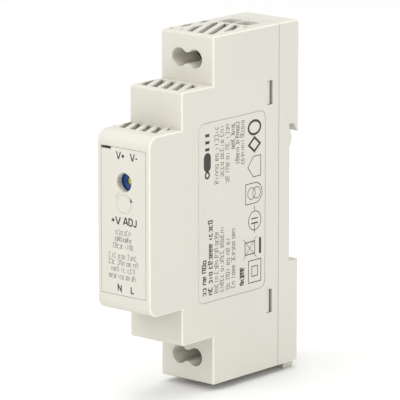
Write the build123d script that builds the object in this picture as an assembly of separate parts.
from build123d import *

import os
from math import radians, tan

# A narrow DIN rail power supply: a stepped case with its board, terminals, trimmer and rail latch.
# Frame, in millimetres: the origin lies on the front face of the 35 mm rail, midway up the rail.
# +X is to the right seen from the front, +Y points back towards the rail and +Z points up.

# Case
WIDTH = 17.5
HEIGHT = 90.0
DEPTH = 58.0
BACK = 2.9  # the case's back face, behind the rail's front face
FRONT = BACK - DEPTH
HALF_WIDTH = WIDTH / 2
HALF_HEIGHT = HEIGHT / 2
NOSE_HALF = 23.0  # half the height of the front tier
MIDDLE_HALF = 32.5  # half the height of the middle tier
MIDDLE_FRONT = FRONT + 12.25
TERMINAL_FRONT = FRONT + 24.25
SEAM = FRONT + 50.0  # where the front housing meets the rail base
SEAM_GAP = 0.1
WALL = 1.8  # front, top and bottom walls
SIDE_WALL = 1.5
NOSE_CORNER = 3.0
TIER_CORNER = 0.6
BACK_CORNER = 1.0
EDGE_SOFTNESS = 0.5
INNER_HALF = HALF_WIDTH - SIDE_WALL
GAP = 0.1  # between pieces that only lie side by side
PAST = 1.0  # how far a cut runs past the face that it opens
BITE = 0.5  # how far a joined piece reaches into its neighbour

# Diagonal vent slots, in fields on the three ledges above and the three below
VENT_LEAN = 24.7  # degrees from +Y towards -X
VENT_WIDTH = 1.6
VENT_PITCH = 3.42  # from slot to slot along X
# Each field's front and back, its left and right ends, and one slot's X at the front
NOSE_VENTS = ((FRONT + 5.4, FRONT + 12.1), (-8.2, 5.8), 1.65)
MIDDLE_VENTS = ((FRONT + 14.0, FRONT + 22.2), (-7.8, 6.4), 1.32)
TOP_VENTS = ((FRONT + 26.4, FRONT + 40.7), (-7.9, 6.1), 2.37)
VENT_BAR = (-6.7, -4.3)  # the top field is closed over the board's edge
GUIDE_RIB = (1.0, 1.6)  # width and depth of each rib that holds the board's edge
GUIDE_Y = (MIDDLE_FRONT + 3.0, TERMINAL_FRONT - 0.5)

# 35 mm rail seat
RAIL_HALF = 17.5
SEAT = -0.85  # the flat wall between the two swellings that the rail bears on
SWELLING_Z = 14.5
SWELLING_HALF = 2.3
NOTCH_TOP = RAIL_HALF + 0.7
NOTCH_BACK = 0.8
LIP_BACK = 2.2
LIP_BOTTOM = 16.0
LEDGE = -17.9
SEAT_BACKING = 2.4  # height of the solid strip above the latch's ledge
SEAT_HOLLOW_TOP = 17.0

# Snap joints between housing and base
SNAP_HEIGHTS = (27.6, -27.0)
SNAP_HALF = 3.1
SNAP_WINDOW = (SEAM - 4.6, SEAM - 2.6)
SNAP_ARM = 1.2  # thickness
SNAP_ROOT = (SEAM + 0.4, SEAM + 3.0)
SNAP_SLIP = 0.05
SNAP_STEP = 0.4  # how far the barb's shoulder stands into the window
SNAP_TAB = 1.0  # length of the barb's raised front
SNAP_SUNK = 0.15  # how far the barb stays below the side face
SNAP_SLOT_HALF = 2.4  # half the height of the slot through the arm, behind the barb's front
END_TONGUE_HALF = 6.0
END_TONGUE_LOW = 41.8
END_TONGUE_Y = (SEAM - 1.5, SEAM + 2.0)

# Rail latch, its channel and its spring
LATCH_SLIP = 0.1
CHANNEL_WALL = 1.5  # in front of the latch's flange
TONGUE_HALF = 5.5
FLANGE_HALF = 6.7
FLANGE_Y = (-1.2, 1.3)
TONGUE_Y = (1.15, 2.75)
TONGUE_TOP = -16.3
TONGUE_LEAD = (0.4, 1.4)  # the flat of the lip, and the drop of its slope
TAB_HALF = 7.25
TAB_BOTTOM = -46.8
TAB_SOFTNESS = 1.2
TAB_SLOT_HALF = 2.75
TAB_SLOT_Y = (-0.1, 1.1)
TAB_SLOT_DEPTH = 3.2
LUG_HALF = 1.9
LUG_Z = (-24.0, -21.1)
LUG_FRONT = -4.4
LUG_SLIP = 0.05
POCKET_HALF = 2.0
HOUSE_HALF = 3.2
HOUSE_FRONT = SEAM - 1.1
HOUSE_FLOOR = 1.5
SPRING_FOOT = -38.0
SPRING_Y = -2.9
SPRING_COIL = 1.25
SPRING_WIRE = 0.22
SPRING_TURNS = 7.5

# Front plate and trimmer
PLATE_HALF = 7.35
PLATE_Z = (-18.4, 19.2)
PLATE_THICK = 1.0
PLATE_SLIP = 0.06
PLATE_SUNK = 0.02  # the plate's back stays this far off the floor of its recess
PRY_NOTCH = (3.25, 0.65)
PEG_HEIGHTS = (16.8, -14.0)
PEG_RADIUS = 0.9
PEG_END = FRONT + WALL + 0.8
TRIMMER_X = 0.3
TRIMMER_Z = 10.6
TRIMMER_HOLE = 2.42
TRIMMER_FACE = FRONT + 2.2
TRIMMER_SIZE = 7.0
TRIMMER_DEPTH = 4.75
TRIMMER_CORNER = 0.5
ROTOR_RADIUS = 1.05
ROTOR_SLIP = 0.05
ROTOR_SUNK = 0.6  # how far the rotor lies below the body's face
ROTOR_SEAT = 2.1  # depth of the rotor's seat in the body
ROTOR_CROSS = (0.8, 0.18, 0.5)  # half length, half width and depth of its cross slots
MARK_CENTRE = (0.2, 5.1)
MARK_RADIUS = 2.4
MARK_GROOVE = (0.1, 0.06)  # width and depth

# Rating label, in a shallow recess of the right side
LABEL_Y = (FRONT + 18.6, FRONT + 44.6)
LABEL_Z = (-22.9, 23.4)
LABEL_CORNER = 2.0
LABEL_THICK = 0.11
LABEL_LIFT = 0.01  # the glue line
LABEL_RECESS = 0.15

# Terminals: two poles at the top and two at the bottom, written here for the top
POLE_X = 2.54
SCREW_Z = 38.6
ACCESS_RADIUS = 2.4
ACCESS_NECK = 2.9
ACCESS_BLEND = 1.0
SLEEVE_WALL = 1.0
BLOCK_Y = (FRONT + 33.0, FRONT + 48.2)
BLOCK_Z = (34.2, HALF_HEIGHT - WALL - GAP)
BLOCK_HALF = 5.3
HEAD_Y = (FRONT + 33.6, FRONT + 35.0)
HEAD_RADIUS = 2.0
HEAD_BEVEL = 0.2
HEAD_CROSS = (0.3, 1.3, 0.8)  # half width, half length of the short arm, depth
SHANK_RADIUS = 1.45
THREAD_SLIP = 0.05
CAVITY_Y = (FRONT + 35.8, FRONT + 47.3)
CAVITY_HALF = 2.15
CAVITY_TOP = 41.6
CAGE_Y = (FRONT + 38.9, FRONT + 47.1)
CAGE_HALF = 2.05
CAGE_Z = (35.4, 41.2)
CAGE_FRONT = 1.5
CAGE_BACK = 1.0
CAGE_SIDE = 0.5
BAR_Y = (FRONT + 41.2, FRONT + 42.2)
BAR_HALF = 1.0
BAR_TOP = 41.0
BAR_LEGS = {-1: 32.6, 1: 30.6}  # height of each pole's leg to the board
BAR_LEG_HALF = 0.5
WIRE_Y = FRONT + 44.15
WIRE_RADIUS = 1.9
COLLAR = (10.1, 6.1)
COLLAR_Y = FRONT + 44.7
COLLAR_CORNER = 1.0
LEAD_IN = (4.2, 5.0, 1.2)  # width, length and depth of the pocket over each wire hole
LEAD_IN_CORNER = 0.4

# Circuit board, parallel to the side walls, with its parts facing +X
BOARD_X = (-5.4, -3.8)
BOARD_BACK = SEAM - 0.6
BOARD_END = 33.7  # the board stops short of the terminal blocks
BOARD_FRONT_GAP = 0.4
BOARD_STEP_GAP = 0.3
SOLDER_X = -6.5
PARTS_X = BOARD_X[1] + GAP
LEAD_RADIUS = 0.3
LEAD_SLIP = 0.08

# Where each part's leads go through the board, as (y, z)
LEADS = {
    "fuse": [(-23.8, -28.5), (-18.8, -28.5)],
    "surge_varistor": [(-15.6, -26.0), (-10.6, -26.0)],
    "inrush_thermistor": [(-23.0, -20.0), (-18.0, -20.0)],
    "x_capacitor": [(-38.9, -26.3), (-31.4, -26.3)],
    "choke_winding": [(-40.1, -17.0), (-28.9, -17.0)],
    "bridge_rectifier": [(-14.5, -17.0), (-12.5, -17.0), (-10.5, -17.0), (-8.5, -17.0)],
    "input_capacitor": [(-48.5, -0.4), (-45.5, -0.4)],
    "y_capacitor": [(-13.5, -7.0), (-8.5, -7.0)],
    "bleed_resistor": [(-39.0, -3.0), (-39.0, 5.0)],
    "controller_chip": [(y, z) for y in (-36.4, -30.2) for z in (-9.6, -7.1, -4.6)],
    "optocoupler": [(y, z) for y in (-15.2, -7.8) for z in (2.8, 5.2)],
    "transformer_bobbin": [(y, z) for y in (-28.0, -25.3, -22.7, -20.0) for z in (-4.2, 4.2)],
    "output_diode": [(-17.5, 18.0), (-15.0, 18.0), (-12.5, 18.0)],
    "output_choke_winding": [(-27.0, 27.0), (-22.0, 27.0)],
    "output_capacitor_1": [(-36.0, 16.2), (-33.0, 16.2)],
    "output_capacitor_2": [(-36.0, 24.8), (-33.0, 24.8)],
    "trimmer_body": [(-50.6, 8.1), (-50.6, 13.1), (-49.0, 10.6)],
}

# Round parts and discs, as (radius, height) or (radius, thickness)
FUSE = (3.9, 7.7)
OUTPUT_CAPACITOR = (4.0, 10.5)
VARISTOR = (3.6, 3.2)
THERMISTOR = (3.6, 3.0)
Y_CAPACITOR = (3.3, 2.6)
CAN_SOFTNESS = 0.5
CAN_GROOVE = (1.2, 1.7)
CAN_GROOVE_DEPTH = 0.3
DISC_LIFT = 0.8
DISC_ROUNDING = 0.35  # of the disc's thickness
INPUT_CAPACITOR = (5.0, 18.0, 0.6)  # radius, length, stub of its leads
RESISTOR = (1.1, 3.0)  # radius, half length
X_CAPACITOR = (9.2, 5.0, 2.6)  # height, half sizes along Y and Z

# Flat packages: size along Y, size along Z, height, lift off the board
BRIDGE = (9.0, 6.4, 2.6, 0.4)
CONTROLLER = (5.0, 7.0, 1.8, 0.3)
OPTOCOUPLER = (6.4, 4.6, 3.2, 0.3)
PACKAGE_BEVEL = 0.3
PACKAGE_LEAD = 0.25  # half thickness of the flat leads

# Coils and cores
COIL_SLIP = 0.05
CHOKE_RADII = (2.4, 5.2)
CHOKE_X = (PARTS_X + 0.8, PARTS_X + 5.3)
CHOKE_WIRE = 0.7
CHOKE_SPACE = 1.5  # half the space between the two windings
CORE_X = (-0.8, 3.8)
CORE_HALF_Y = 8.0
CORE_HALF_Z = 6.8
CORE_WINDOW = (2.3, 5.9)  # from the middle of the core
FLANGE_X = (PARTS_X + 0.1, 6.6)
FLANGE_HALF_Y = 5.8
FLANGE_END = 4.5
BOBBIN_WALL = 0.6
WINDING_END = 3.9
WINDING_OUTSIDE = 2.5
WINDING_CORNER = 1.0
DRUM_HEIGHT = 8.5
DRUM_RADIUS = 3.6
DRUM_RIM = 1.0
DRUM_POST = 1.4
DRUM_COIL = 3.3

# Output diode and its heatsink
DIODE = (5.0, 2.1, 7.5)  # half sizes along Y and Z, height
DIODE_LIFT = 2.5
HEATSINK = (6.5, 10.4, 1.2, 3.5)  # half size along Y, height, thickness, height of the fold


def block(x, y, z):
    """A box between two limits along each axis."""
    limits = (x, y, z)
    size = [high - low for low, high in limits]
    middle = [(low + high) / 2 for low, high in limits]
    return Pos(*middle) * Box(*size)


def rod_x(y, z, radius, x):
    return Pos((x[0] + x[1]) / 2, y, z) * Rot(0, 90, 0) * Cylinder(radius, x[1] - x[0])


def rod_y(x, z, radius, y):
    return Pos(x, (y[0] + y[1]) / 2, z) * Rot(90, 0, 0) * Cylinder(radius, y[1] - y[0])


def rod_z(x, y, radius, z):
    return Pos(x, y, (z[0] + z[1]) / 2) * Cylinder(radius, z[1] - z[0])


def across(sketch, x):
    """Extrude a (y, z) sketch between two values of X."""
    return Pos(x[0], 0, 0) * extrude(Plane.YZ * sketch, x[1] - x[0])


def lengthways(sketch, y):
    """Extrude an (x, z) sketch between two values of Y."""
    return Pos(0, y[1], 0) * extrude(Plane.XZ * sketch, y[1] - y[0])


def upright(sketch, z):
    """Extrude an (x, y) sketch between two values of Z."""
    return Pos(0, 0, z[0]) * extrude(sketch, z[1] - z[0])


def polygon(points):
    return make_face(Polyline(*points, close=True))


def below(shape):
    """The same piece in the lower half of the case."""
    return mirror(shape, about=Plane.XY)


def leads(name, top=PARTS_X):
    """A part's leads, from its body down through the board."""
    return [rod_x(y, z, LEAD_RADIUS, (SOLDER_X, top)) for y, z in LEADS[name]]


def stepped_outline(inset, back):
    """The three-tier side profile as (y, z) points, moved inwards by inset."""
    upper = [
        (back, HALF_HEIGHT - inset),
        (TERMINAL_FRONT + inset, HALF_HEIGHT - inset),
        (TERMINAL_FRONT + inset, MIDDLE_HALF - inset),
        (MIDDLE_FRONT + inset, MIDDLE_HALF - inset),
        (MIDDLE_FRONT + inset, NOSE_HALF - inset),
        (FRONT + inset, NOSE_HALF - inset),
    ]
    return upper + [(y, -z) for y, z in reversed(upper)]


def edges_along_x(shape, y, half_z):
    """The edges parallel to X at that y and at plus and minus half_z."""

    def there(edge):
        middle = edge.center()
        return abs(middle.Y - y) < 0.01 and abs(abs(middle.Z) - half_z) < 0.01

    return shape.edges().filter_by(Axis.X).filter_by(there)


def soften_sides(shape, keep_sharp):
    """Round the rims of both side faces, except where keep_sharp says so of an edge's middle."""

    def on_side(edge):
        box = edge.bounding_box()
        flat = box.max.X - box.min.X < 0.001 and abs(abs(box.min.X) - HALF_WIDTH) < 0.001
        return flat and not keep_sharp(edge.center())

    return fillet(shape.edges().filter_by(on_side), EDGE_SOFTNESS)


def vent_sketch(field):
    """The slots of one ledge: parallel strips clipped to the field."""
    (front, back), (left, right), first = field
    middle = (front + back) / 2
    drift = tan(radians(VENT_LEAN)) * (middle - front)
    strips = Sketch()
    for step in range(-5, 6):
        centre = first + step * VENT_PITCH - drift
        strips += Pos(centre, middle) * Rot(0, 0, VENT_LEAN) * Rectangle(VENT_WIDTH, 2 * (back - front))
    return strips & Pos((left + right) / 2, middle) * Rectangle(right - left, back - front)


def vents():
    """All vent cuts of the upper half."""
    top = vent_sketch(TOP_VENTS)
    top -= Pos(sum(VENT_BAR) / 2, 0) * Rectangle(VENT_BAR[1] - VENT_BAR[0], 2 * DEPTH)
    nose = vent_sketch(NOSE_VENTS)
    middle = vent_sketch(MIDDLE_VENTS)
    levels = ((nose, NOSE_HALF), (middle, MIDDLE_HALF), (top, HALF_HEIGHT))
    return [upright(sketch, (level - WALL - GAP, level + GAP)) for sketch, level in levels]


def access_outline():
    """The dog-bone opening that a screwdriver reaches both terminal screws through."""
    outline = Rectangle(2 * POLE_X, ACCESS_NECK)
    for side in (-1, 1):
        outline += Pos(side * POLE_X, 0) * Circle(ACCESS_RADIUS)
    waist = outline.vertices().filter_by(lambda v: abs(abs(v.Y) - ACCESS_NECK / 2) < 0.01)
    return fillet(waist, ACCESS_BLEND)


def access_sleeve():
    """The moulded sleeve from the case's front wall to the terminal block, and the hole through it."""
    place = Pos(0, SCREW_Z)
    outside = SlotCenterToCenter(2 * POLE_X, 2 * (ACCESS_RADIUS + SLEEVE_WALL))
    sleeve = lengthways(place * outside, (TERMINAL_FRONT + WALL - BITE, BLOCK_Y[0] - GAP))
    hole = lengthways(place * access_outline(), (TERMINAL_FRONT - PAST, BLOCK_Y[0]))
    return sleeve, hole


def collar_outline(slip=0.0):
    """The flush pad round both wire entries, seen from above."""
    width, depth = (size + 2 * slip for size in COLLAR)
    return Pos(0, COLLAR_Y) * RectangleRounded(width, depth, COLLAR_CORNER + slip)


def label_outline(slip=0.0):
    width = LABEL_Y[1] - LABEL_Y[0] + 2 * slip
    height = LABEL_Z[1] - LABEL_Z[0] + 2 * slip
    return Pos(sum(LABEL_Y) / 2, sum(LABEL_Z) / 2) * RectangleRounded(width, height, LABEL_CORNER + slip)


def board_guides():
    """Two ribs under the middle tier's roof that hold the board's edge between them."""
    width, depth = GUIDE_RIB
    roof = MIDDLE_HALF - WALL
    left = BOARD_X[0] - GAP
    right = BOARD_X[1] + GAP
    spans = ((left - width, left), (right, right + width))
    return [block(x, GUIDE_Y, (roof - depth, roof + BITE)) for x in spans]


def front_housing():
    """The stepped five-sided shell, open at the back."""
    back = SEAM - SEAM_GAP / 2
    shell = across(polygon(stepped_outline(0, back)), (-HALF_WIDTH, HALF_WIDTH))
    shell = fillet(edges_along_x(shell, FRONT, NOSE_HALF), NOSE_CORNER)
    for front, half_z in ((MIDDLE_FRONT, MIDDLE_HALF), (TERMINAL_FRONT, HALF_HEIGHT)):
        shell = fillet(edges_along_x(shell, front, half_z), TIER_CORNER)
    shell = soften_sides(shell, lambda middle: middle.Y > back - GAP)
    shell -= across(polygon(stepped_outline(WALL, SEAM + PAST)), (-INNER_HALF, INNER_HALF))
    sleeve, hole = access_sleeve()
    for piece in [sleeve] + board_guides():
        shell += [piece, below(piece)]
    window = upright(collar_outline(PLATE_SLIP), (HALF_HEIGHT - WALL - PAST, HALF_HEIGHT + PAST))
    for cut in [hole, window] + vents():
        shell -= [cut, below(cut)]
    for height in SNAP_HEIGHTS:
        shell -= block((-WIDTH, WIDTH), SNAP_WINDOW, (height - SNAP_HALF, height + SNAP_HALF))
    recess_x = (-PLATE_HALF - PLATE_SLIP, PLATE_HALF + PLATE_SLIP)
    recess_z = (PLATE_Z[0] - PLATE_SLIP, PLATE_Z[1] + PLATE_SLIP)
    shell -= block(recess_x, (FRONT - PAST, FRONT + PLATE_THICK), recess_z)
    through = (FRONT - PAST, FRONT + WALL + PAST)
    for height in PEG_HEIGHTS:
        shell -= rod_y(0, height, PEG_RADIUS + PLATE_SLIP, through)
    shell -= rod_y(TRIMMER_X, TRIMMER_Z, TRIMMER_HOLE, through)
    notch_x = (-INNER_HALF + GAP, -PLATE_HALF + PRY_NOTCH[0])
    shell -= block(notch_x, through, (PLATE_Z[1] - PRY_NOTCH[1], PLATE_Z[1] + PLATE_SLIP))
    shell -= across(label_outline(PLATE_SLIP), (HALF_WIDTH - LABEL_RECESS, HALF_WIDTH + PAST))
    return shell


def front_plate():
    """The legend plate that snaps into the nose, with its pegs, trimmer hole and pry notch."""
    plate = block((-PLATE_HALF, PLATE_HALF), (FRONT, FRONT + PLATE_THICK - PLATE_SUNK), PLATE_Z)
    for height in PEG_HEIGHTS:
        plate += rod_y(0, height, PEG_RADIUS, (FRONT + BITE, PEG_END))
    through = (FRONT - PAST, FRONT + PLATE_THICK + PAST)
    plate -= rod_y(TRIMMER_X, TRIMMER_Z, TRIMMER_HOLE, through)
    notch_x = (-PLATE_HALF - PAST, -PLATE_HALF + PRY_NOTCH[0])
    plate -= block(notch_x, through, (PLATE_Z[1] - PRY_NOTCH[1], PLATE_Z[1] + PAST))
    width, depth = MARK_GROOVE
    ring = Circle(MARK_RADIUS) - Circle(MARK_RADIUS - width)
    plate -= lengthways(Pos(*MARK_CENTRE) * ring, (FRONT - PAST, FRONT + depth))
    return plate


def rating_label():
    back = HALF_WIDTH - LABEL_RECESS + LABEL_LIFT
    return across(label_outline(), (back, back + LABEL_THICK))


def swelling(side):
    """The low round swelling of the rail seat, above or below the rail's middle."""
    radius = (SWELLING_HALF**2 + SEAT**2) / (2 * abs(SEAT))
    bulge = Pos(-radius, side * SWELLING_Z) * Circle(radius)
    return bulge & Pos(SEAT / 2, side * SWELLING_Z) * Rectangle(abs(SEAT) + 2 * BITE, 2 * SWELLING_HALF)


def base_outline():
    """The rail base's side profile: a full-depth head with the fixed hook, the seat and the latch block."""
    front = SEAM + SEAM_GAP / 2
    return polygon(
        [
            (front, HALF_HEIGHT),
            (BACK, HALF_HEIGHT),
            (BACK, LIP_BOTTOM),
            (LIP_BACK, LIP_BOTTOM),
            (NOTCH_BACK, NOTCH_TOP),
            (SEAT, NOTCH_TOP),
            (SEAT, LEDGE),
            (BACK, LEDGE),
            (BACK, -HALF_HEIGHT),
            (front, -HALF_HEIGHT),
        ]
    )


def spring_house():
    """The boss inside the latch block that the spring pocket is cut into."""
    house_z = (SPRING_FOOT - HOUSE_FLOOR, LEDGE - WALL)
    return block((-HOUSE_HALF, HOUSE_HALF), (HOUSE_FRONT, FLANGE_Y[0]), house_z)


def base_hollows():
    """The three core-outs on the base's inner side, and the space round the spring's boss."""
    inside = (-INNER_HALF, INNER_HALF)
    roof = HALF_HEIGHT - WALL
    front = SEAM - PAST
    upper = block(inside, (front, BACK - WALL), (NOTCH_TOP + WALL, roof))
    middle = block(inside, (front, SEAT - WALL), (LEDGE + SEAT_BACKING, SEAT_HOLLOW_TOP))
    lower = block(inside, (front, FLANGE_Y[0] - CHANNEL_WALL), (-roof, LEDGE - WALL))
    return [upper, middle, lower - spring_house()]


def latch_channel():
    """The T-shaped slot that the latch slides in, and the pocket for its lug and spring."""
    slip = LATCH_SLIP
    low = -HALF_HEIGHT - PAST
    narrow_x = (-TONGUE_HALF - slip, TONGUE_HALF + slip)
    wide_x = (-FLANGE_HALF - slip, FLANGE_HALF + slip)
    narrow = block(narrow_x, (0, BACK + PAST), (low, LEDGE))
    wide = block(wide_x, (FLANGE_Y[0] - slip, FLANGE_Y[1] + slip), (low, LEDGE))
    pocket_z = (SPRING_FOOT, LUG_Z[1] + LUG_SLIP)
    pocket = block((-POCKET_HALF, POCKET_HALF), (LUG_FRONT - 2 * slip, 0), pocket_z)
    return [narrow, wide, pocket]


def snap_arm(side, height):
    """A springy arm that reaches into the housing, with a stepped barb in the window."""
    inner, outer = INNER_HALF - GAP - SNAP_ARM, INNER_HALF - GAP
    spread = (height - SNAP_HALF + GAP, height + SNAP_HALF - GAP)
    tip = SNAP_WINDOW[0] + SNAP_SLIP
    arm = block((inner, outer), (tip, SNAP_ROOT[1]), spread)
    arm += block((inner, INNER_HALF + BITE), SNAP_ROOT, spread)
    arm += block((inner, INNER_HALF + SNAP_STEP), (tip, SNAP_WINDOW[1] - SNAP_SLIP), spread)
    arm += block((inner, HALF_WIDTH - SNAP_SUNK), (tip, SNAP_WINDOW[0] + SNAP_TAB), spread)
    slot_y = (SNAP_WINDOW[0] + SNAP_TAB, SNAP_WINDOW[1] - SNAP_SLIP)
    arm -= block((inner - PAST, HALF_WIDTH), slot_y, (height - SNAP_SLOT_HALF, height + SNAP_SLOT_HALF))
    return arm if side > 0 else mirror(arm, about=Plane.YZ)


def end_tongue():
    """A tongue at the base's upper end that locates it inside the housing."""
    x = (-END_TONGUE_HALF, END_TONGUE_HALF)
    inside = HALF_HEIGHT - WALL
    tongue = block(x, END_TONGUE_Y, (END_TONGUE_LOW, inside - GAP))
    return tongue + block(x, (SNAP_ROOT[0], END_TONGUE_Y[1]), (END_TONGUE_LOW, inside + BITE))


def rail_base():
    """The rear moulding that carries the fixed hook, the rail seat and the latch."""
    base = across(base_outline(), (-HALF_WIDTH, HALF_WIDTH))
    base = fillet(edges_along_x(base, BACK, HALF_HEIGHT), BACK_CORNER)

    def sharp(middle):
        at_seam = middle.Y < SEAM + GAP
        at_rail = middle.Y < BACK - GAP and abs(middle.Z) < HALF_HEIGHT - 2 * BACK_CORNER
        return at_seam or at_rail

    base = soften_sides(base, sharp)
    base += across(swelling(1), (-HALF_WIDTH, HALF_WIDTH))
    base += across(swelling(-1), (-TAB_HALF, TAB_HALF))
    base -= base_hollows()
    base += spring_house()
    base -= latch_channel()
    base += [end_tongue(), below(end_tongue())]
    base += [snap_arm(side, height) for side in (-1, 1) for height in SNAP_HEIGHTS]
    return base


def rail_latch():
    """The sliding latch: a flange in the channel, the tongue behind the rail's rim, lug and pull tab."""
    flange = block((-FLANGE_HALF, FLANGE_HALF), FLANGE_Y, (TAB_BOTTOM, LEDGE - 2 * LATCH_SLIP))
    low, high = TONGUE_Y
    flat, drop = TONGUE_LEAD
    lip = polygon(
        [
            (low, TONGUE_TOP),
            (low + flat, TONGUE_TOP),
            (high, TONGUE_TOP - drop),
            (high, TAB_BOTTOM),
            (low, TAB_BOTTOM),
        ]
    )
    latch = flange + across(lip, (-TONGUE_HALF, TONGUE_HALF))
    tab_z = (TAB_BOTTOM, -HALF_HEIGHT - GAP)
    latch += block((-TAB_HALF, TAB_HALF), (FLANGE_Y[0], high), tab_z)
    latch = fillet(edges_along_x(latch, high, -TAB_BOTTOM), TAB_SOFTNESS)
    latch += block((-LUG_HALF, LUG_HALF), (LUG_FRONT, FLANGE_Y[0] + BITE), LUG_Z)
    slot_z = (TAB_BOTTOM - PAST, TAB_BOTTOM + TAB_SLOT_DEPTH)
    return latch - block((-TAB_SLOT_HALF, TAB_SLOT_HALF), TAB_SLOT_Y, slot_z)


def latch_spring():
    """A compression spring between the pocket's floor and the latch's lug."""
    low = SPRING_FOOT + SPRING_WIRE + LUG_SLIP
    high = LUG_Z[0] - SPRING_WIRE - LUG_SLIP
    path = Helix((high - low) / SPRING_TURNS, high - low, SPRING_COIL)
    start = Plane(origin=path @ 0, z_dir=path % 0)
    return Pos(0, SPRING_Y, low) * sweep(start * Circle(SPRING_WIRE), path=path)


def terminal_body():
    """The upper terminal block's insulating body, with its collar flush in the case's roof."""
    body = block((-BLOCK_HALF, BLOCK_HALF), BLOCK_Y, BLOCK_Z)
    body += upright(collar_outline(), (BLOCK_Z[1] - BITE, HALF_HEIGHT))
    for side in (-1, 1):
        x = side * POLE_X
        body -= block((x - CAVITY_HALF, x + CAVITY_HALF), CAVITY_Y, (BLOCK_Z[0] - PAST, CAVITY_TOP))
        body -= rod_y(x, SCREW_Z, HEAD_RADIUS + GAP, (BLOCK_Y[0] - PAST, HEAD_Y[1] + THREAD_SLIP))
        body -= rod_y(x, SCREW_Z, SHANK_RADIUS + GAP, (HEAD_Y[1] - BITE, CAVITY_Y[0] + BITE))
        body -= rod_z(x, WIRE_Y, WIRE_RADIUS, (CAVITY_TOP - BITE, HALF_HEIGHT + PAST))
        pocket = Pos(x, COLLAR_Y) * RectangleRounded(LEAD_IN[0], LEAD_IN[1], LEAD_IN_CORNER)
        body -= upright(pocket, (HALF_HEIGHT - LEAD_IN[2], HALF_HEIGHT + PAST))
    return body


def terminal_screw(side):
    """A clamping screw with a slotted cross head."""
    x = side * POLE_X
    half_width, half_arm, depth = HEAD_CROSS
    screw = rod_y(x, SCREW_Z, HEAD_RADIUS, HEAD_Y)
    screw = chamfer(screw.edges().group_by(Axis.Y)[0], HEAD_BEVEL)
    screw += rod_y(x, SCREW_Z, SHANK_RADIUS, (HEAD_Y[0] + BITE, BAR_Y[0] - GAP))
    for half_x, half_z in ((HEAD_RADIUS + PAST, half_width), (half_width, half_arm)):
        slot_z = (SCREW_Z - half_z, SCREW_Z + half_z)
        screw -= block((x - half_x, x + half_x), (HEAD_Y[0] - PAST, HEAD_Y[0] + depth), slot_z)
    return screw


def wire_cage(side):
    """The rising cage that pulls the wire up against the contact bar."""
    x = side * POLE_X
    cage = block((x - CAGE_HALF, x + CAGE_HALF), CAGE_Y, CAGE_Z)
    inner = CAGE_HALF - CAGE_SIDE
    hollow_y = (CAGE_Y[0] + CAGE_FRONT, CAGE_Y[1] - CAGE_BACK)
    cage -= block((x - inner, x + inner), hollow_y, (CAGE_Z[0] - PAST, CAGE_Z[1] + PAST))
    thread_y = (CAGE_Y[0] - PAST, CAGE_Y[0] + CAGE_FRONT + BITE)
    return cage - rod_y(x, SCREW_Z, SHANK_RADIUS + THREAD_SLIP, thread_y)


def contact_bar(side):
    """The fixed current bar in the cage, with its leg soldered to the board."""
    x = side * POLE_X
    low = BAR_LEGS[side] - BAR_LEG_HALF
    bar = block((x - BAR_HALF, x + BAR_HALF), BAR_Y, (low, BAR_TOP))
    return bar + block((SOLDER_X, x), BAR_Y, (low, low + 2 * BAR_LEG_HALF))


def circuit_board():
    """The board fills all three tiers and stops short of the terminal blocks."""
    rear_step = TERMINAL_FRONT + WALL + BOARD_STEP_GAP
    front_step = MIDDLE_FRONT + WALL + BOARD_STEP_GAP
    middle_half = MIDDLE_HALF - WALL - BOARD_FRONT_GAP
    nose_half = NOSE_HALF - WALL - BOARD_FRONT_GAP
    upper = [
        (BOARD_BACK, BOARD_END),
        (rear_step, BOARD_END),
        (rear_step, middle_half),
        (front_step, middle_half),
        (front_step, nose_half),
        (FRONT + WALL + BOARD_FRONT_GAP, nose_half),
    ]
    board = across(polygon(upper + [(y, -z) for y, z in reversed(upper)]), BOARD_X)
    through = (BOARD_X[0] - PAST, BOARD_X[1] + PAST)
    places = [place for part in LEADS.values() for place in part]
    holes = [rod_x(y, z, LEAD_RADIUS + LEAD_SLIP, through) for y, z in places]
    slot_half = BAR_LEG_HALF + LEAD_SLIP
    for leg in BAR_LEGS.values():
        slot_y = (BAR_Y[0] - LEAD_SLIP, BAR_Y[1] + LEAD_SLIP)
        slot = block(through, slot_y, (leg - slot_half, leg + slot_half))
        holes += [slot, below(slot)]
    return board - holes


def trimmer_body():
    """The square potentiometer behind the front plate's hole."""
    half = TRIMMER_SIZE / 2
    faces_x = (TRIMMER_X - half, TRIMMER_X + half)
    faces_z = (TRIMMER_Z - half, TRIMMER_Z + half)
    body = block(faces_x, (TRIMMER_FACE, TRIMMER_FACE + TRIMMER_DEPTH), faces_z)
    body = fillet(body.edges().filter_by(Axis.Y), TRIMMER_CORNER)
    seat_y = (TRIMMER_FACE - PAST, TRIMMER_FACE + ROTOR_SEAT)
    body -= rod_y(TRIMMER_X, TRIMMER_Z, ROTOR_RADIUS + ROTOR_SLIP, seat_y)
    return body + leads("trimmer_body", faces_x[0] + BITE)


def trimmer_rotor():
    """The rotor with its screwdriver cross, sunk into the body."""
    face = TRIMMER_FACE + ROTOR_SUNK
    rotor = rod_y(TRIMMER_X, TRIMMER_Z, ROTOR_RADIUS, (face, TRIMMER_FACE + ROTOR_SEAT - ROTOR_SLIP))
    half_long, half_wide, depth = ROTOR_CROSS
    for half_x, half_z in ((half_long, half_wide), (half_wide, half_long)):
        slot_x = (TRIMMER_X - half_x, TRIMMER_X + half_x)
        rotor -= block(slot_x, (face - PAST, face + depth), (TRIMMER_Z - half_z, TRIMMER_Z + half_z))
    return rotor


def between(name):
    """The point midway between a part's first and last lead, as (y, z)."""
    (first_y, first_z), (last_y, last_z) = LEADS[name][0], LEADS[name][-1]
    return (first_y + last_y) / 2, (first_z + last_z) / 2


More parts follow.
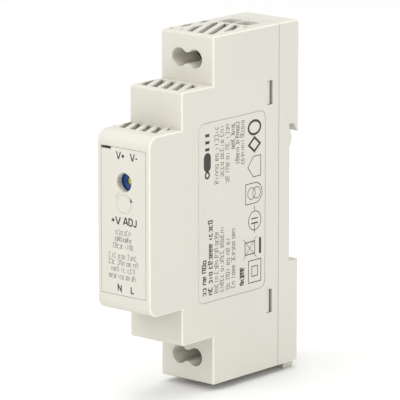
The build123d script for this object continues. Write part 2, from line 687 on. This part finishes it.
def standing_can(name, radius, height):
    """A round part that stands on the board."""
    y, z = between(name)
    can = rod_x(y, z, radius, (PARTS_X, PARTS_X + height))
    can = fillet(can.edges().group_by(Axis.X)[-1], CAN_SOFTNESS)
    return can + leads(name, PARTS_X + BITE)


def output_capacitor(name):
    """A standing can with the rolled groove over its seal."""
    radius, height = OUTPUT_CAPACITOR
    y, z = between(name)
    low, high = (PARTS_X + edge for edge in CAN_GROOVE)
    groove = rod_x(y, z, radius + PAST, (low, high))
    groove -= rod_x(y, z, radius - CAN_GROOVE_DEPTH, (low - GAP, high + GAP))
    return standing_can(name, radius, height) - groove


def disc(name, radius, thickness):
    """A disc on edge, its axis along Z, raised on its leads."""
    y, z = between(name)
    centre = PARTS_X + radius + DISC_LIFT
    body = rod_z(centre, y, radius, (z - thickness / 2, z + thickness / 2))
    body = fillet(body.edges().filter_by(GeomType.CIRCLE), thickness * DISC_ROUNDING)
    return body + leads(name, centre)


def x_capacitor():
    y, z = between("x_capacitor")
    height, half_y, half_z = X_CAPACITOR
    body = block((PARTS_X, PARTS_X + height), (y - half_y, y + half_y), (z - half_z, z + half_z))
    body = fillet(body.edges().filter_by(Axis.X), CAN_SOFTNESS)
    return body + leads("x_capacitor", PARTS_X + BITE)


def input_capacitor():
    """The large capacitor lies along the nose, with its leads bent down to the board."""
    radius, length, stub = INPUT_CAPACITOR
    y, lead_z = between("input_capacitor")
    centre = PARTS_X + radius + GAP
    top = lead_z - stub
    can = rod_z(centre, y, radius, (top - length, top))
    can = fillet(can.edges().filter_by(GeomType.CIRCLE), CAN_SOFTNESS)
    for lead_y, _ in LEADS["input_capacitor"]:
        can += rod_z(centre, lead_y, LEAD_RADIUS, (top - BITE, lead_z))
    return can + leads("input_capacitor", centre + LEAD_RADIUS)


def choke_core():
    y, z = between("choke_winding")
    inner, outer = CHOKE_RADII
    return rod_x(y, z, outer, CHOKE_X) - rod_x(y, z, inner, (CHOKE_X[0] - PAST, CHOKE_X[1] + PAST))


def choke_winding():
    """Two windings, each wrapped round its own half of the ring core."""
    y, z = between("choke_winding")
    inner, outer = CHOKE_RADII
    low, high = CHOKE_X
    wound = rod_x(y, z, outer + CHOKE_WIRE, (low - CHOKE_WIRE, high + CHOKE_WIRE))
    wound -= rod_x(y, z, inner - CHOKE_WIRE, (low - PAST, high + PAST))
    room = (low - COIL_SLIP, high + COIL_SLIP)
    wound -= rod_x(y, z, outer + COIL_SLIP, room) - rod_x(y, z, inner - COIL_SLIP, room)
    reach = outer + PAST
    wound -= block((low - PAST, high + PAST), (y - CHOKE_SPACE, y + CHOKE_SPACE), (z - reach, z + reach))
    return wound + leads("choke_winding", low)


def flat_package(name, size_y, size_z, height, lift):
    """A moulded package over the board on bent leads."""
    y, z = between(name)
    spread_y = (y - size_y / 2, y + size_y / 2)
    spread_z = (z - size_z / 2, z + size_z / 2)
    body = block((PARTS_X + lift, PARTS_X + lift + height), spread_y, spread_z)
    body = chamfer(body.edges().group_by(Axis.X)[-1], PACKAGE_BEVEL)
    middle = PARTS_X + lift + height / 2
    for lead_y, lead_z in LEADS[name]:
        foot_x = (middle - PACKAGE_LEAD, middle + PACKAGE_LEAD)
        body += block(foot_x, sorted((lead_y, y)), (lead_z - LEAD_RADIUS, lead_z + LEAD_RADIUS))
    return body + leads(name, middle)


def bleed_resistor():
    y, z = between("bleed_resistor")
    radius, half_length = RESISTOR
    centre = PARTS_X + radius + GAP
    body = rod_z(centre, y, radius, (z - half_length, z + half_length))
    for _, lead_z in LEADS["bleed_resistor"]:
        body += rod_z(centre, y, LEAD_RADIUS, sorted((lead_z, z)))
    return body + leads("bleed_resistor", centre + LEAD_RADIUS)


def transformer_core():
    """A pair of E cores with their three legs along Z."""
    y, z = between("transformer_bobbin")
    core = block(CORE_X, (y - CORE_HALF_Y, y + CORE_HALF_Y), (z - CORE_HALF_Z, z + CORE_HALF_Z))
    window_z = (z - FLANGE_END - GAP, z + FLANGE_END + GAP)
    for side in (-1, 1):
        window_y = sorted((y + side * CORE_WINDOW[0], y + side * CORE_WINDOW[1]))
        core -= block((CORE_X[0] - PAST, CORE_X[1] + PAST), window_y, window_z)
    return core


def round_core_leg(grow, half_z):
    """The core's middle leg, grown outwards by grow, as a box."""
    y, z = between("transformer_bobbin")
    half_y = CORE_WINDOW[0] + grow
    return block((CORE_X[0] - grow, CORE_X[1] + grow), (y - half_y, y + half_y), (z - half_z, z + half_z))


def transformer_bobbin():
    """A tube round the middle leg with a flange at either end, on the pins."""
    y, z = between("transformer_bobbin")
    bobbin = round_core_leg(BOBBIN_WALL, FLANGE_END)
    for side in (-1, 1):
        ends = sorted((z + side * WINDING_END, z + side * FLANGE_END))
        bobbin += block(FLANGE_X, (y - FLANGE_HALF_Y, y + FLANGE_HALF_Y), ends)
    bobbin -= round_core_leg(COIL_SLIP, FLANGE_END + PAST)
    return bobbin + leads("transformer_bobbin", FLANGE_X[0] + BITE)


def transformer_winding():
    winding = round_core_leg(WINDING_OUTSIDE, WINDING_END - COIL_SLIP)
    winding = fillet(winding.edges().filter_by(Axis.Z), WINDING_CORNER)
    return winding - round_core_leg(BOBBIN_WALL + COIL_SLIP, FLANGE_END)


def output_diode():
    y, z = between("output_diode")
    half_y, half_z, height = DIODE
    body_x = (PARTS_X + DIODE_LIFT, PARTS_X + DIODE_LIFT + height)
    body = block(body_x, (y - half_y, y + half_y), (z - half_z, z + half_z))
    return body + leads("output_diode", body_x[0] + BITE)


def diode_heatsink():
    """An aluminium angle below the diode and behind it."""
    y, z = between("output_diode")
    half_y, height, thickness, fold = HEATSINK
    face = z - DIODE[1] - GAP
    back = y + half_y
    plate = block((PARTS_X, PARTS_X + height), (y - half_y, back), (face - thickness, face))
    upstand = block((PARTS_X, PARTS_X + height), (back - thickness, back), (face - thickness, face + fold))
    return plate + upstand


def output_choke_core():
    """A drum core standing on the board."""
    y, z = between("output_choke_winding")
    top = PARTS_X + DRUM_HEIGHT
    drum = rod_x(y, z, DRUM_POST, (PARTS_X, top))
    for rim in ((PARTS_X, PARTS_X + DRUM_RIM), (top - DRUM_RIM, top)):
        drum += rod_x(y, z, DRUM_RADIUS, rim)
    for lead_y, lead_z in LEADS["output_choke_winding"]:
        drum -= rod_x(lead_y, lead_z, LEAD_RADIUS + LEAD_SLIP, (PARTS_X - PAST, PARTS_X + DRUM_RIM + BITE))
    return drum


def output_choke_winding():
    y, z = between("output_choke_winding")
    low = PARTS_X + DRUM_RIM + COIL_SLIP
    high = PARTS_X + DRUM_HEIGHT - DRUM_RIM - COIL_SLIP
    coil = rod_x(y, z, DRUM_COIL, (low, high))
    coil -= rod_x(y, z, DRUM_POST + COIL_SLIP, (low - PAST, high + PAST))
    return coil + leads("output_choke_winding", low + BITE)


def small_parts():
    """Everything soldered to the board, by node name."""
    return {
        "fuse": standing_can("fuse", *FUSE),
        "surge_varistor": disc("surge_varistor", *VARISTOR),
        "inrush_thermistor": disc("inrush_thermistor", *THERMISTOR),
        "x_capacitor": x_capacitor(),
        "choke_core": choke_core(),
        "choke_winding": choke_winding(),
        "bridge_rectifier": flat_package("bridge_rectifier", *BRIDGE),
        "input_capacitor": input_capacitor(),
        "controller_chip": flat_package("controller_chip", *CONTROLLER),
        "bleed_resistor": bleed_resistor(),
        "y_capacitor": disc("y_capacitor", *Y_CAPACITOR),
        "optocoupler": flat_package("optocoupler", *OPTOCOUPLER),
        "transformer_core": transformer_core(),
        "transformer_bobbin": transformer_bobbin(),
        "transformer_winding": transformer_winding(),
        "output_diode": output_diode(),
        "diode_heatsink": diode_heatsink(),
        "output_choke_core": output_choke_core(),
        "output_choke_winding": output_choke_winding(),
        "output_capacitor_1": output_capacitor("output_capacitor_1"),
        "output_capacitor_2": output_capacitor("output_capacitor_2"),
    }


def terminal_parts():
    """Both terminal blocks: the output at the top, the input at the bottom, each with two poles."""
    body = terminal_body()
    parts = {"output_terminal_block": body, "input_terminal_block": below(body)}
    poles = {"output": {-1: "plus", 1: "minus"}, "input": {-1: "neutral", 1: "line"}}
    for side in (-1, 1):
        pieces = {"screw": terminal_screw(side), "cage": wire_cage(side), "bar": contact_bar(side)}
        for kind, piece in pieces.items():
            parts[f"output_{poles['output'][side]}_{kind}"] = piece
            parts[f"input_{poles['input'][side]}_{kind}"] = below(piece)
    return parts


def assembly():
    """Every node of the power supply."""
    case = {
        "front_housing": front_housing(),
        "rail_base": rail_base(),
        "front_plate": front_plate(),
        "rating_label": rating_label(),
        "rail_latch": rail_latch(),
        "latch_spring": latch_spring(),
        "circuit_board": circuit_board(),
        "trimmer_body": trimmer_body(),
        "trimmer_rotor": trimmer_rotor(),
    }
    return {**case, **terminal_parts(), **small_parts()}


os.makedirs("parts", exist_ok=True)
for node, shape in assembly().items():
    export_step(shape, f"parts/{node}.step")
